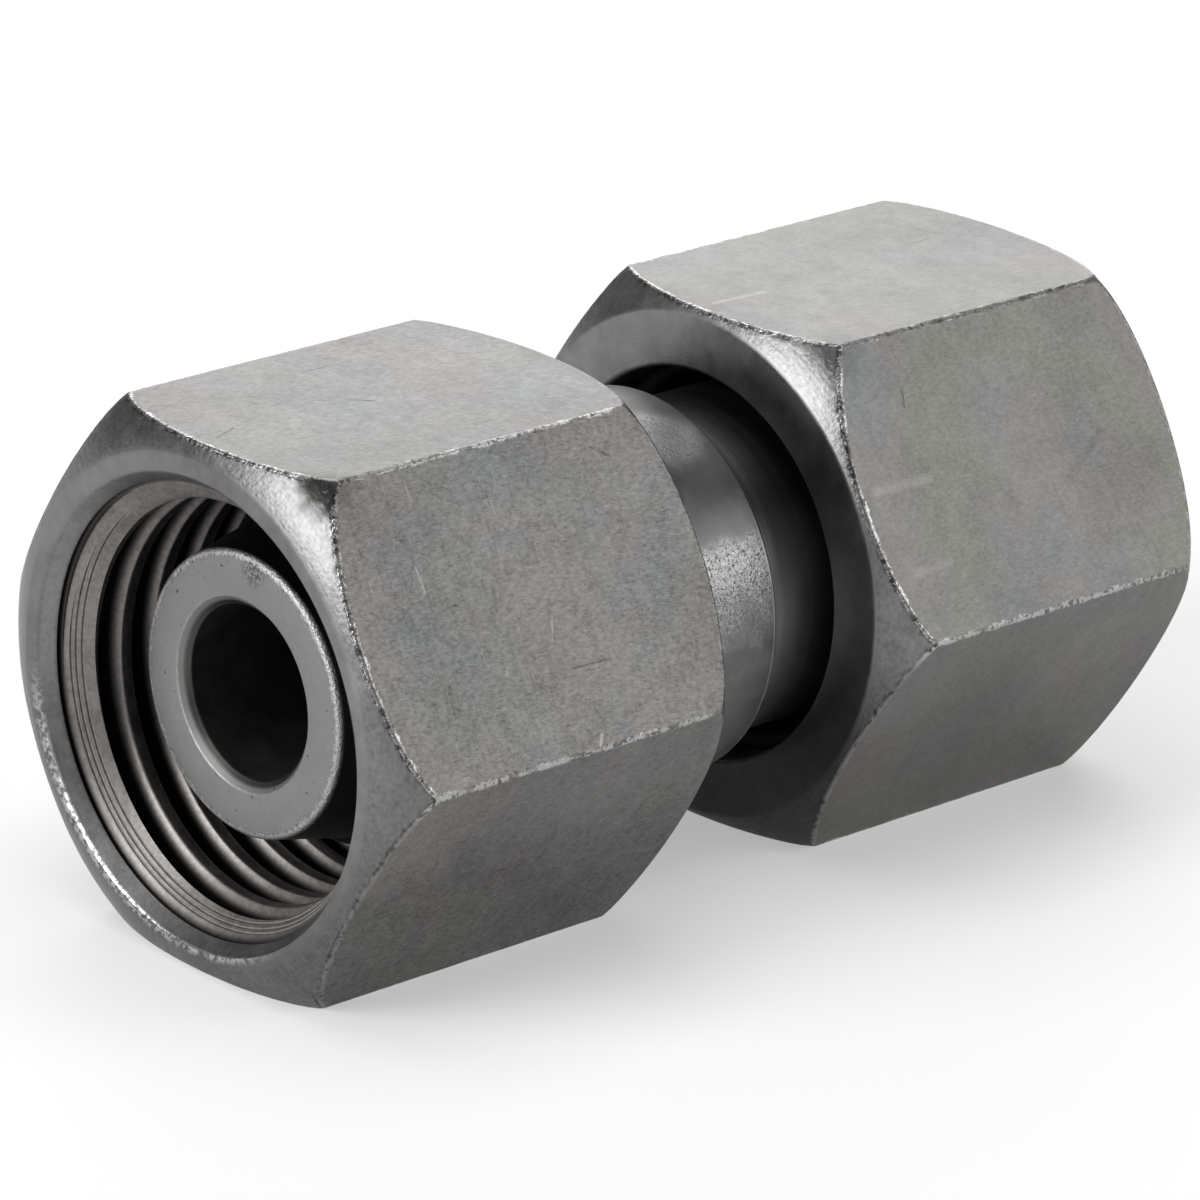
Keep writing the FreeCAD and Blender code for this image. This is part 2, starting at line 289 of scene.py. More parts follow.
# The nut as it would be turned from round bar, with its stepped bore but no thread
def nutTurning():
    length, core = nut["length"], nut["coreRadius"]
    inside = core - nut["coreSpare"]
    ringStart, ringEnd = (nut["ringMiddle"] + side * nut["ringGrooveHalf"] for side in (-1, 1))
    leadInEnd = nut["leadInStart"] + nut["leadInRadius"]
    leadIn = []
    for mark in nut["toolMarks"]:
        for aside, sink in ((1, 0), (0, nut["toolMarkDepth"]), (-1, 0)):
            radius = mark + aside * nut["toolMarkHalf"]
            leadIn.append((radius + sink, leadInEnd - radius + sink))
    points = [
        (nut["mouthRadius"], 0),
        (nut["mouthRidge"], 0),
        *chamferCurve("mouth"),
        *[(radius, length - depth) for radius, depth in reversed(chamferCurve("rear"))],
        (nut["rearRidge"], length),
        (core + nut["rearChamfer"], length),
        (core, length - nut["rearChamfer"]),
        (core, ringEnd),
        (nut["ringGrooveRadius"], ringEnd),
        (nut["ringGrooveRadius"], ringStart),
        (core, ringStart),
        (core, nut["reliefEnd"]),
        (nut["reliefRadius"], nut["reliefEnd"]),
        (nut["reliefRadius"], nut["reliefStart"]),
        (inside, nut["reliefStart"]),
        (inside, leadInEnd - inside),
        *reversed(leadIn),
        (nut["leadInRadius"], nut["leadInStart"]),
        (nut["stepRadius"] + nut["stepUndercut"], nut["stepEnd"]),
        (nut["stepRadius"], nut["mouthDepth"]),
    ]
    piece = drawOutline("nutTurning", points)
    roundCorners(piece, [
        (nut["mouthRadius"], 0, nut["mouthRound"]),
        (nut["mouthRidge"], 0, nut["ridgeRound"]),
        (nut["rearRidge"], length, nut["ridgeRound"]),
    ], segments=4)
    roundCorners(piece, [
        (core + nut["rearChamfer"], length, nut["rearRound"]),
        (core, length - nut["rearChamfer"], nut["rearRound"]),
    ], segments=2)
    spinOutline(piece, nut["turnSteps"])
    # The bore up to the relief moves off the middle, and the outside stays
    boreReach, boreEnd = nut["mouthRadius"] + 0.15, nut["reliefStart"] + 0.01
    startEdit(piece)
    selectPoints(piece, lambda point: (
        math.hypot(point.co.x, point.co.z) < boreReach and point.co.y < boreEnd
    ))
    bpy.ops.transform.translate(value=nut["boreOffset"])
    endEdit()
    return piece


# Hexagon bar with a flat on top and rounded long edges
def nutBar():
    deselectAll()
    bpy.ops.mesh.primitive_cylinder_add(
        vertices=6,
        radius=nut["acrossFlats"] / math.sqrt(3),
        depth=nut["length"] + 2 * nut["barSpare"],
        location=(0, nut["length"] / 2, 0),
        rotation=(math.pi / 2, math.pi / 6, 0),
    )
    bar = bpy.context.active_object
    bpy.ops.object.transform_apply(location=True, rotation=True, scale=True)
    startEdit(bar)
    selectEdges(bar, lambda edge: all(abs(face.normal.y) < 0.5 for face in edge.link_faces))
    bpy.ops.mesh.bevel(offset=nut["longEdgeRound"], segments=4, affect="EDGES", clamp_overlap=False)
    endEdit()
    tidyMesh(bar)
    return bar


# The solid that fills the threaded bore: one pitch of the outline, turned into a right-hand screw
def nutThreadSolid():
    pitch, crest, root = nut["pitch"], nut["crestWidth"], nut["rootWidth"]
    flank = (pitch - crest - root) / 2
    core, outer = nut["coreRadius"], nut["threadRadius"]
    points = [
        (core, 0),
        (core, crest / 2),
        (outer, crest / 2 + flank),
        (outer, crest / 2 + flank + root),
        (core, pitch - crest / 2),
        (core, pitch),
    ]
    piece = drawOutline("threadSolid", points, closed=False)
    roundCorners(piece, [(*points[1], nut["crestRound"]), (*points[4], nut["crestRound"])], segments=3)
    endEdit()
    steps, spareTurns = nut["threadSteps"], nut["spareTurns"]
    turns = math.ceil(nut["reliefEnd"] / pitch) + 1 + spareTurns
    applyModifier(
        piece, "SCREW", axis="Y", angle=fullTurn, screw_offset=pitch, iterations=turns,
        steps=steps, render_steps=steps, use_merge_vertices=True, merge_threshold=nut["screwWeld"],
    )
    startEdit(piece)
    bpy.ops.mesh.select_all(action="SELECT")
    offset = Vector(nut["boreOffset"]) - Vector((0, (spareTurns + nut["threadPhase"]) * pitch, 0))
    bpy.ops.transform.translate(value=offset)
    bpy.ops.mesh.remove_doubles(threshold=nut["screwWeld"])
    start = (nut["mouthDepth"] + nut["stepEnd"]) / 2
    end = (nut["reliefStart"] + nut["reliefEnd"]) / 2
    for station, outwards in ((start, -1), (end, 1)):
        bpy.ops.mesh.select_all(action="SELECT")
        bpy.ops.mesh.bisect(plane_co=(0, station, 0), plane_no=(0, outwards, 0),
                            use_fill=True, clear_outer=True)
    endEdit()
    tidyMesh(piece, nut["screwWeld"])
    return piece


# An edge where a flat of the hexagon, or its rounded corner, meets the chamfer
def isArc(edge):
    if len(edge.link_faces) != 2:
        return False
    tilts = sorted(abs(face.normal.y) for face in edge.link_faces)
    least, most = nut["chamferTilt"]
    middle = (edge.verts[0].co + edge.verts[1].co) / 2
    outside = math.hypot(middle.x, middle.z) > nut["arcRadius"]
    return outside and tilts[0] < nut["flatTilt"] and least < tilts[1] < most


# An edge that runs round the chamfer and ends on the arc at a shallow angle
def endsOnArc(edge):
    first, last = (point.co for point in edge.verts)
    radii = [math.hypot(end.x, end.z) for end in (first, last)]
    gap = nut["ringGap"]
    alongTurn = abs(radii[0] - radii[1]) < gap and abs(first.y - last.y) < gap
    if not alongTurn or min(radii) < nut["ringRadius"] or isArc(edge):
        return False
    return any(isArc(other) for point in edge.verts for other in point.link_edges)


# A corner of the mesh so close to the arc that it would be in the way of the rounding
def crowdsArc(point):
    if any(isArc(edge) for edge in point.link_edges):
        return False
    return any(
        edge.calc_length() < 2 * nut["arcRound"]
        and any(isArc(other) for other in edge.other_vert(point).link_edges)
        for edge in point.link_edges
    )


def makeNut():
    piece = nutTurning()
    combine(piece, nutBar(), "INTERSECT")
    tidyMesh(piece, nut["barWeld"])
    startEdit(piece)
    selectEdges(piece, endsOnArc)
    bpy.ops.mesh.dissolve_edges(use_verts=True)
    selectPoints(piece, crowdsArc)
    bpy.ops.mesh.dissolve_verts()
    selectEdges(piece, isArc)
    bpy.ops.mesh.select_mode(type="VERT")
    bpy.ops.mesh.remove_doubles(threshold=nut["arcGap"])
    selectEdges(piece, isArc)
    bpy.ops.mesh.bevel(offset=nut["arcRound"], segments=3, affect="EDGES", clamp_overlap=False)
    selectFaces(piece, lambda face: abs(face.normal.y) < 1e-4 and face.calc_area() > nut["flatArea"])
    bpy.ops.mesh.inset(thickness=nut["flatBorder"])
    endEdit()
    tidyMesh(piece, nut["arcWeld"])
    combine(piece, nutThreadSolid(), "DIFFERENCE")
    tidyMesh(piece, nut["threadWeld"])
    return piece


# Turned body: the same half outline on both sides of its middle
low, high = (millimetres(corner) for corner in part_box("body"))
body = {
    "length": high.y - low.y,
    "boreRadius": 3.1,
    "boreChamfer": 0.36,
    "boreRound": 0.05,
    "noseFaceRadius": 5.05,
    "noseSlope": math.tan(math.radians(12)),
    "noseLength": 3.2,
    "noseRound": 0.16,
    "sealWidth": 2.0,
    "sealFloorRadius": 4.713,
    "shoulderRadius": 6.888,
    "shoulderLand": 0.8,
    "shoulderRound": 0.1,
    "thrustStep": 0.7,
    "stemRadius": 6.188,
    "collarRadius": 7.038,
    "collarLength": 6.0,
    "collarChamfer": 0.2,
    "collarRound": 0.06,
    "turnSteps": 192,
}


def makeBody():
    end = body["length"] / 2
    sealEnd = end - body["noseLength"]
    sealStart = sealEnd - body["sealWidth"]
    shoulderStart = sealStart - body["shoulderLand"]
    collarEnd = body["collarLength"] / 2
    bore, collar, chamfer = body["boreRadius"], body["collarRadius"], body["collarChamfer"]
    half = [
        (collar, collarEnd - chamfer),
        (collar - chamfer, collarEnd),
        (body["stemRadius"], collarEnd),
        (body["stemRadius"], shoulderStart - body["thrustStep"]),
        (body["shoulderRadius"], shoulderStart),
        (body["shoulderRadius"], sealStart),
        (body["sealFloorRadius"], sealStart),
        (body["sealFloorRadius"], sealEnd),
        (body["noseFaceRadius"] + body["noseLength"] * body["noseSlope"], sealEnd),
        (body["noseFaceRadius"], end),
        (bore + body["boreChamfer"], end),
        (bore, end - body["boreChamfer"]),
    ]
    mirrored = [(radius, -station) for radius, station in reversed(half)]
    piece = drawOutline("bodyTurning", half + mirrored)
    for side in (-1, 1):
        roundCorners(piece, [(body["noseFaceRadius"], side * end, body["noseRound"])], segments=5)
        roundCorners(piece, [
            (collar, side * (collarEnd - chamfer), body["collarRound"]),
            (collar - chamfer, side * collarEnd, body["collarRound"]),
            (body["shoulderRadius"], side * shoulderStart, body["shoulderRound"]),
            (body["shoulderRadius"], side * sealStart, body["shoulderRound"]),
            (bore + body["boreChamfer"], side * end, body["boreRound"]),
            (bore, side * (end - body["boreChamfer"]), body["boreRound"]),
        ], segments=3)
    spinOutline(piece, body["turnSteps"])
    return piece


# Node helpers. A value is a plain number or another node's output, which knows its own tree
def isSocket(value):
    return isinstance(value, bpy.types.NodeSocket)


def treeOf(*values):
    return next(value.id_data for value in values if isSocket(value))


def addNode(tree, kind, inputs=None, **settings):
    node = tree.nodes.new("ShaderNode" + kind)
    for name, value in settings.items():
        setattr(node, name, value)
    for name, value in (inputs or {}).items():
        if isSocket(value):
            tree.links.new(value, node.inputs[name])
        else:
            node.inputs[name].default_value = value
    return node


def calc(operation, *values):
    return addNode(treeOf(*values), "Math", dict(enumerate(values)), operation=operation).outputs[0]


# Joins any number of values with one operation, from left to right
def chain(operation, values):
    total = values[0]
    for value in values[1:]:
        total = calc(operation, total, value)
    return total


def plus(*values):
    return chain("ADD", values)


def minus(*values):
    return chain("SUBTRACT", values)


def times(*values):
    return chain("MULTIPLY", values)


def highest(*values):
    return chain("MAXIMUM", values)


def lowest(*values):
    return chain("MINIMUM", values)


# The same for places and directions. A distance or a dot product comes out as a number
def vectorCalc(operation, first, second):
    inputs = {0: first, "Scale" if operation == "SCALE" else 1: second}
    output = "Value" if operation in ("DISTANCE", "DOT_PRODUCT") else "Vector"
    return addNode(treeOf(first, second), "VectorMath", inputs, operation=operation).outputs[output]


def smoothStep(value, low, high, start, end):
    limits = {"Value": value, "From Min": low, "From Max": high, "To Min": start, "To Max": end}
    return addNode(treeOf(value), "MapRange", limits, interpolation_type="SMOOTHSTEP").outputs["Result"]


# A smooth step from 0 at low to 1 at high
def rise(value, low, high):
    return smoothStep(value, low, high, 0.0, 1.0)


def fall(value, low, high):
    return smoothStep(value, low, high, 1.0, 0.0)


# A smooth bump from low to high around the middle of the two
def band(value, low, high):
    middle = (low + high) / 2
    return times(rise(value, low, middle), fall(value, middle, high))


noiseShift = (7.3, 3.1, 5.7)  # how far each seed moves a noise
noiseRange = (0.2, 0.8)  # a noise hardly goes past these


# Noise with features of about the given size in millimetres
def noise(place, size, detail, roughness, seed, output="Fac"):
    sizes = size if isinstance(size, tuple) else (size,) * 3
    shifted = addNode(treeOf(place), "Mapping", {
        "Vector": place,
        "Location": tuple(shift * seed for shift in noiseShift),
        "Scale": tuple(1 / (2 * side) for side in sizes),
    }).outputs["Vector"]
    settings = {"Vector": shifted, "Scale": 1.0, "Detail": detail, "Roughness": roughness}
    return addNode(treeOf(place), "TexNoise", settings).outputs[output]


# Noise as a height or a change of tone, from -size to size
def wobble(value, size):
    low, high = noiseRange
    limits = {"Value": value, "From Min": low, "From Max": high, "To Min": -size, "To Max": size}
    return addNode(treeOf(value), "MapRange", limits).outputs["Result"]


def mixColour(amount, under, over):
    colours = {0: amount, 6: under, 7: over}
    return addNode(treeOf(amount, under, over), "Mix", colours, data_type="RGBA").outputs[2]


# Makes a colour lighter or darker by a factor
def shade(colour, factor):
    return vectorCalc("SCALE", colour if isSocket(colour) else colour[:3], factor)


# A new metal with its shader, and the place on the piece in millimetres, seen from one end
def startMetal(name, endStation=0.0, turned=False):
    material = bpy.data.materials.new(name)
    material.use_nodes = True
    tree = material.node_tree
    shader = tree.nodes["Principled BSDF"]
    shader.inputs["Metallic"].default_value = 1.0
    place = addNode(tree, "Mapping", {
        "Vector": addNode(tree, "TexCoord").outputs["Object"],
        "Location": (0, endStation if turned else -endStation, 0),
        "Rotation": (0, 0, math.pi if turned else 0),
        "Scale": (perMetre,) * 3,
    }).outputs["Vector"]
    return material, shader, place


def finishMetal(shader, colour, roughness, height):
    tree = shader.id_data
    bump = addNode(tree, "Bump", {"Height": height, "Distance": 1 / perMetre})
    tree.links.new(colour, shader.inputs["Base Color"])
    tree.links.new(roughness, shader.inputs["Roughness"])
    tree.links.new(bump.outputs["Normal"], shader.inputs["Normal"])


# The coordinates of a place, and how far it lies from the bore's axis
def sidesOf(place):
    parts = addNode(treeOf(place), "SeparateXYZ", {"Vector": place}).outputs
    x, y, z = parts["X"], parts["Y"], parts["Z"]
    return x, y, z, calc("SQRT", plus(times(x, x), times(z, z)))


# Most pairs are the limits of a smooth step, in millimetres or as parts of a noise's range. Tones
# are shares of the colour's own brightness. Some of them, here and in the wear below, only match
# the light and shade of one photo and are no dirt: the low flats and ends, the tones of the
# chamfers and end faces, the weaker line on the low arcs and the top of the bore
nutFinish = {
    "steel": (0.158, 0.158, 0.157, 1),
    "warm": (0.167, 0.156, 0.151, 1),  # faint pink, blue and olive of the thin oxide on the flats
    "cool": (0.153, 0.158, 0.158, 1),
    "olive": (0.163, 0.161, 0.146, 1),
    # near black, for the dark line along the edges (partly grime, partly painted shade) and the painted
    # shade at one corner
    "dirtAndShade": (0.030, 0.029, 0.028, 1),
    "worn": (0.46, 0.46, 0.455, 1),
    "bore": (0.225, 0.212, 0.205, 1),
    # near black: painted shade in the thread's roots, and partly dirt and partly painted shade in the
    # undercut
    "groove": (0.012, 0.011, 0.010, 1),
    "flatRoughness": 0.46,
    "endRoughness": 0.36,
    "wornRoughness": 0.34,
    "grooveRoughness": 0.4,  # on top of the flats' own
    "mottleRoughness": 0.05,
    "clouds": (2.6, 2, 0.6),  # each noise's size in millimetres, detail and roughness
    "mottle": (0.45, 3, 0.7),
    "grain": ((0.06, 0.12, 0.06), 2, 0.75),
    "speckle": (0.09, 1, 0.6),
    "coarse": (0.30, 1, 0.6),
    "edgeSlants": (1.15, 0.9, 1.1),  # brings the gaps to long edge, chamfer and flat to one measure
    "endBehind": (0.03, 0.10),  # where an end begins, behind its chamfer
    "endUnder": (0.0, 0.04),  # and under the flat
    "chamferStart": (0.02, 0.10),
    "boreEdge": (0.12, 0.02),  # how far inside the flare's edge the bore's own finish begins
    "boreEnd": 0.05,
    "warmClouds": (0.40, 0.62),
    "oliveClouds": (0.42, 0.62),
    "flatTones": (0.21, 0.36, 0.10, 0.16),  # of the mottle, grain, coarse noise and clouds
    "lowFlatShade": (-6.0, -2.0),  # heights between full and no painted shade on the flats
    "scratches": (  # along the bar and across it: size, turn, seed and tones of light and dark ones
        ((0.028, 0.9, 0.028), (0.15, 0.1, 0.35), 0, 0.20, -0.22),
        ((0.6, 0.032, 0.6), (0.2, 0.1, -0.3), 4, 0.13, -0.14),
    ),
    "lightScratch": (0.70, 0.78),  # which peaks and dips of the long noise are scratches
    "darkScratch": (0.24, 0.31),
    "markCore": 0.3,  # share of a distinct scratch's width that has its full tone
    "ringPace": 42.0,  # of the rings left by the turning, in radians per millimetre
    "ringWander": 9.0,
    "endTones": (0.20, 0.20, 0.02, 0.22),  # of the mottle, clouds, rings and speckle
    # heights between full and no painted shade on the end faces
    "lowEndShade": (-5.5, 1.0),
    "endShadeReach": (1.0, 2.4),  # how far behind each end the painted shade goes
    "crinkles": (0.06, 0.07),  # of the lines along the edges, coarse and fine
    "wornLine": (0.068, 0.17),  # bright broken line along the edge of a flat
    "wornUnder": (0.05, 0.09),  # how far under the flat it ends
    "wornBreaks": (0.34, 0.50),  # where in the mottle it is broken
    "wornSpeckle": 0.32,
    "longEdges": 0.8,  # strength of the line where it isn't on an arc
    "nearArc": (0.3, 0.6),
    "arcChange": (6.0, 9.0),  # stations between the two ends' strengths
    "lowArcShade": 0.2,  # share of it on the flats that face down, where it is weakened as painted shade
    "lowArcShadeEdge": (-1.2, 0.2),  # heights between the low and the full strength
    "grimeShadeLine": (0.085, 0.17),  # dark line on the chamfer beside it, partly grime and partly painted shade of the rounded edge
    "grimeShadeBreaks": (0.35, 0.55),
    "grimeShadeTone": 0.75,
    # painted shade at one upper corner:
    "cornerShadeCore": 0.4,  # share of its reach that is full
    "cornerShadeEdge": 0.3,  # how ragged it is
    "cornerShadeBreaks": (0.12, 0.36),
    "cornerShadeOnFlat": 0.4,  # share of its strength there
    "mouthWearAngle": math.radians(245),  # where round the mouth its rim is worn bright
    "mouthWearTurn": (0.45, 0.85),
    "mouthWearRadii": (8.65, 8.95),
    "mouthWearDepth": (0.1, 0.25),
    "mouthWearBreaks": (0.36, 0.60),
    # where the painted shade in the thread's roots begins:
    "rootShade": (0.10, 0.50),  # how far out from the crests it begins,
    "threadStart": (0.65, 0.8),  # and how far behind the lead-in's edge
    "undercutSpill": (0.02, 0.08),  # how far the undercut's dark, partly dirt and partly painted shade, goes past it, before and after
    # painted light on the left side of the flare
    "flareLightSide": (-7.5, -3.0),
    "flareLightDepth": 0.1,
    "flareLightTone": 0.5,
    "boreTone": 0.2,
    "boreTopShade": (1.5, 7.0),  # heights between no and full painted shade
    "boreTopShadeTone": -0.28,
    "flatHeights": (0.0018, 0.003),  # of the grain and mottle
    "endHeights": (0.003, 0.004, 0.0004),  # of the speckle, mottle and rings
    "edgeHeights": (0.008, 0.006),  # of the grain and speckle
    "edgeHeightReach": (0.10, 0.20),
}

# Distinct scratches: flat, start and end as (across, station), width and how much lighter
frontMarks = [
    (30, (-5.35, 8.75), (-5.0, 8.95), 0.09, 0.7),
    (30, (2.1, 3.52), (1.2, 3.59), 0.055, 0.6),
    (30, (-0.7, 8.45), (-1.5, 8.15), 0.06, 0.42),
    (30, (-2.6, 8.65), (-2.65, 10.3), 0.05, -0.38),
    (30, (4.4, 12.25), (3.9, 13.0), 0.06, -0.32),
    (30, (4.9, 4.15), (4.2, 4.20), 0.07, 0.36),
    (90, (0.4, 6.95), (-0.2, 7.65), 0.05, -0.6),
    (90, (0.1, 0.95), (0.5, 2.05), 0.06, -0.6),
    (90, (3.46, 7.55), (3.37, 8.75), 0.05, -0.5),
    (90, (2.0, 12.55), (1.4, 13.85), 0.05, -0.4),
]
rearMarks = [
    (90, (-0.49, 14.75), (-0.35, 12.5), 0.16, 0.35),
    (90, (-1.1, 4.65), (-1.2, 3.25), 0.05, -0.4),
    (150, (-0.26, 14.8), (-0.2, 12.2), 0.24, 0.22),
    (150, (2.9, 14.25), (2.8, 12.45), 0.2, 0.2),
    (150, (-2.8, 12.35), (-3.4, 12.2), 0.06, -0.35),
    (150, (1.1, 5.75), (-0.1, 3.65), 0.25, -0.12),
]

# What differs between the nuts: wear, and painted light and shade
frontWearAndShade = {
    "flatGrain": 1.0,
    "olive": 0.6,
    "arcs": (1.0, 0.15),  # strength of the bright line at the mouth and at the rear
    # brightness of the end faces and chamfers: partly their turned finish, partly painted highlight
    "endFace": 1.12,
    "chamfers": 1.0,
    # painted shade: how much darker the flats are low down, and the lower half of each end face
    "lowFlatShade": 0.24,  # how much darker the flats are low down,
    "lowEndShade": (0.22, 0.0),  # and the lower half of the mouth's face and of the rear face
    "cornerShade": ((5.3, 1.35, 9.25), 1.35, 1.0),  # middle, reach and strength of the painted shade at one upper corner
}
rearWearAndShade = {
    "flatGrain": 0.6,
    "olive": 1.0,
    "arcs": (0.4, 1.0),
    # brightness of the end faces and chamfers: partly their turned finish, partly painted highlight
    "endFace": 1.25,
    "chamfers": 1.22,
    # painted shade, as on the front nut
    "lowFlatShade": 0.12,
    "lowEndShade": (0.22, 0.80),
    "cornerShade": ((-5.35, 14.3, 9.35), 1.4, 0.55),
}


# How far a place lies behind the chamfer of one end
def chamferGap(end, radius, station):
    slope, bulge = nut[end + "ChamferAngle"], nut[end + "ChamferRound"]
    out = highest(minus(radius, nut[end + "Ridge"]), 0.0)
    steepness = plus(calc("DIVIDE", out, bulge), math.sin(slope))
    rest = calc("SQRT", minus(1.0, times(steepness, steepness)))
    depth = times(minus(math.cos(slope), rest), bulge)
    corner = highest(minus(radius, nut["cornerStart"]), 0.0)
    return minus(station, plus(depth, times(corner, corner, nut["cornerDrop"])))


# What a nut's finish depends on at a place: where it lies on the nut, and the noises
def nutSpot(place, seed):
    finish, flat = nutFinish, nut["acrossFlats"] / 2
    spot = SimpleNamespace(place=place, seed=seed)
    spot.x, spot.y, spot.z, spot.radius = sidesOf(place)
    spot.fromRear = minus(nut["length"], spot.y)
    sideways = times(spot.x, math.cos(math.pi / 6))
    upwards = times(spot.z, math.sin(math.pi / 6))
    reaches = [
        calc("ABSOLUTE", spot.z),
        calc("ABSOLUTE", plus(sideways, upwards)),
        calc("ABSOLUTE", minus(sideways, upwards)),
    ]
    most = highest(*reaches)
    second = minus(plus(*reaches), most, lowest(*reaches))
    spot.underFlat = minus(flat, most)
    spot.behindChamfer = lowest(
        chamferGap("mouth", spot.radius, spot.y), chamferGap("rear", spot.radius, spot.fromRear),
    )
    longSlant, chamferSlant, flatSlant = finish["edgeSlants"]
    onFace = lowest(times(minus(flat, second), longSlant), times(spot.behindChamfer, chamferSlant))
    spot.fromEdge = highest(times(spot.underFlat, flatSlant), onFace)
    spot.boreRadius = sidesOf(vectorCalc("SUBTRACT", place, nut["boreOffset"]))[3]

    colours = {0: noise(place, *finish["clouds"], seed + 5, "Color")}
    spot.clouds = addNode(treeOf(place), "SeparateColor", colours).outputs
    spot.mottle = noise(place, *finish["mottle"], seed + 1)
    spot.grain = noise(place, *finish["grain"], seed + 2)
    spot.speckle = noise(place, *finish["speckle"], seed + 6)
    spot.coarse = noise(place, *finish["coarse"], seed + 7)

    spot.onEnd = times(
        fall(spot.behindChamfer, *finish["endBehind"]), rise(spot.underFlat, *finish["endUnder"]),
    )
    spot.onChamfers = rise(lowest(spot.y, spot.fromRear), *finish["chamferStart"])
    edgeOuter, edgeInner = finish["boreEdge"]
    spot.inBore = times(
        fall(spot.boreRadius, nut["mouthRadius"] - edgeOuter, nut["mouthRadius"] - edgeInner),
        rise(spot.fromRear, nut["rearChamfer"], nut["rearChamfer"] + finish["boreEnd"]),
    )
    rings = plus(times(spot.radius, finish["ringPace"]), times(spot.clouds[2], finish["ringWander"]))
    spot.rings = calc("SINE", rings)
    return spot


# Fine scratches, light and dark, as the thin peaks and dips of a long narrow noise
def scratches(place, size, turn, seed):
    turned = addNode(treeOf(place), "Mapping", {"Vector": place, "Rotation": turn}).outputs["Vector"]
    streaks = noise(turned, size, 0, 0.5, seed)
    return rise(streaks, *nutFinish["lightScratch"]), fall(streaks, *nutFinish["darkScratch"])


# One distinct scratch from start to end on a flat
def markLine(place, flatAngle, start, end, width):
    out = Vector((math.cos(flatAngle), 0, math.sin(flatAngle))) * nut["acrossFlats"] / 2
    across = Vector((-math.sin(flatAngle), 0, math.cos(flatAngle)))
    first = out + across * start[0] + Vector((0, start[1], 0))
    last = out + across * end[0] + Vector((0, end[1], 0))
    along = (last - first).normalized()
    offset = vectorCalc("SUBTRACT", place, first)
    travel = lowest(highest(vectorCalc("DOT_PRODUCT", offset, along), 0.0), (last - first).length)
    away = vectorCalc("DISTANCE", offset, vectorCalc("SCALE", along, travel))
    return fall(away, width * nutFinish["markCore"], width)


# Flats: pink, olive and blue clouds, fine grain and short scratches mostly along the bar
def flatColour(spot, wearAndShade, marks):
    finish, amount = nutFinish, wearAndShade["flatGrain"]
    flats = mixColour(rise(spot.clouds[0], *finish["warmClouds"]), finish["cool"], finish["warm"])
    olive = times(rise(spot.clouds[1], *finish["oliveClouds"]), wearAndShade["olive"])
    flats = mixColour(olive, flats, finish["olive"])
    mottleTone, grainTone, coarseTone, cloudTone = finish["flatTones"]
    tones = [times(markLine(spot.place, math.radians(angle), start, end, width), lighter)
             for angle, start, end, width, lighter in marks]
    tones += [
        wobble(spot.mottle, mottleTone * amount),
        wobble(spot.grain, grainTone * amount),
        wobble(spot.coarse, coarseTone * amount),
        wobble(spot.clouds[2], cloudTone),
        # painted shade on the flats low down
        times(fall(spot.z, *finish["lowFlatShade"]), -wearAndShade["lowFlatShade"]),
    ]
    for size, turn, seed, lightTone, darkTone in finish["scratches"]:
        light, dark = scratches(spot.place, size, turn, spot.seed + seed)
        tones += [times(light, lightTone * amount), times(dark, darkTone * amount)]
    return shade(flats, plus(1.0, *tones))


# Ends: rings left by the turning, and clouds. Their brightness is partly painted highlight, and their
# lower half has painted shade
def endColour(spot, wearAndShade):
    finish = nutFinish
    # brightness of the end faces and chamfers, partly painted highlight
    tone = plus(wearAndShade["endFace"], times(spot.onChamfers, wearAndShade["chamfers"] - wearAndShade["endFace"]))
    # painted shade on the lower half of the mouth's face and of the rear face
    mouthShade, rearShade = wearAndShade["lowEndShade"]
    atEnds = plus(
        times(fall(spot.y, *finish["endShadeReach"]), mouthShade),
        times(fall(spot.fromRear, *finish["endShadeReach"]), rearShade),
    )
    tone = times(tone, minus(1.0, times(atEnds, fall(spot.z, *finish["lowEndShade"]))))
    mottleTone, cloudTone, ringTone, speckleTone = finish["endTones"]
    texture = plus(
        1.0, wobble(spot.mottle, mottleTone), wobble(spot.clouds[0], cloudTone),
        times(spot.rings, ringTone), times(wobble(spot.speckle, speckleTone), spot.onChamfers),
    )
    return shade(finish["steel"], times(texture, tone))


# Edges: a bright broken line of wear on the flat's side, and a dark one on the chamfer's side that is
# partly grime and partly painted shade
def edgeWearAndShade(spot, wearAndShade):
    finish = nutFinish
    coarseCrinkle, fineCrinkle = finish["crinkles"]
    crinkle = plus(spot.fromEdge, wobble(spot.coarse, coarseCrinkle), wobble(spot.speckle, fineCrinkle))
    mouthArc, rearArc = wearAndShade["arcs"]
    arcs = plus(mouthArc, times(rise(spot.y, *finish["arcChange"]), rearArc - mouthArc))
    low, longEdges = finish["lowArcShade"], finish["longEdges"]
    # painted shade: the bright line is weaker on the flats that face down
    arcs = times(arcs, plus(low, times(rise(spot.z, *finish["lowArcShadeEdge"]), 1.0 - low)))
    nearArc = fall(spot.behindChamfer, *finish["nearArc"])
    strength = plus(longEdges, times(nearArc, minus(arcs, longEdges)))
    broken = rise(plus(spot.mottle, wobble(spot.speckle, finish["wornSpeckle"])), *finish["wornBreaks"])
    worn = times(
        fall(crinkle, *finish["wornLine"]), strength, fall(spot.underFlat, *finish["wornUnder"]), broken,
    )
    # the dark line beside the edge: partly grime, partly painted shade
    grimeAndShade = times(
        fall(crinkle, *finish["grimeShadeLine"]), spot.onEnd, rise(spot.coarse, *finish["grimeShadeBreaks"]),
    )
    return worn, grimeAndShade


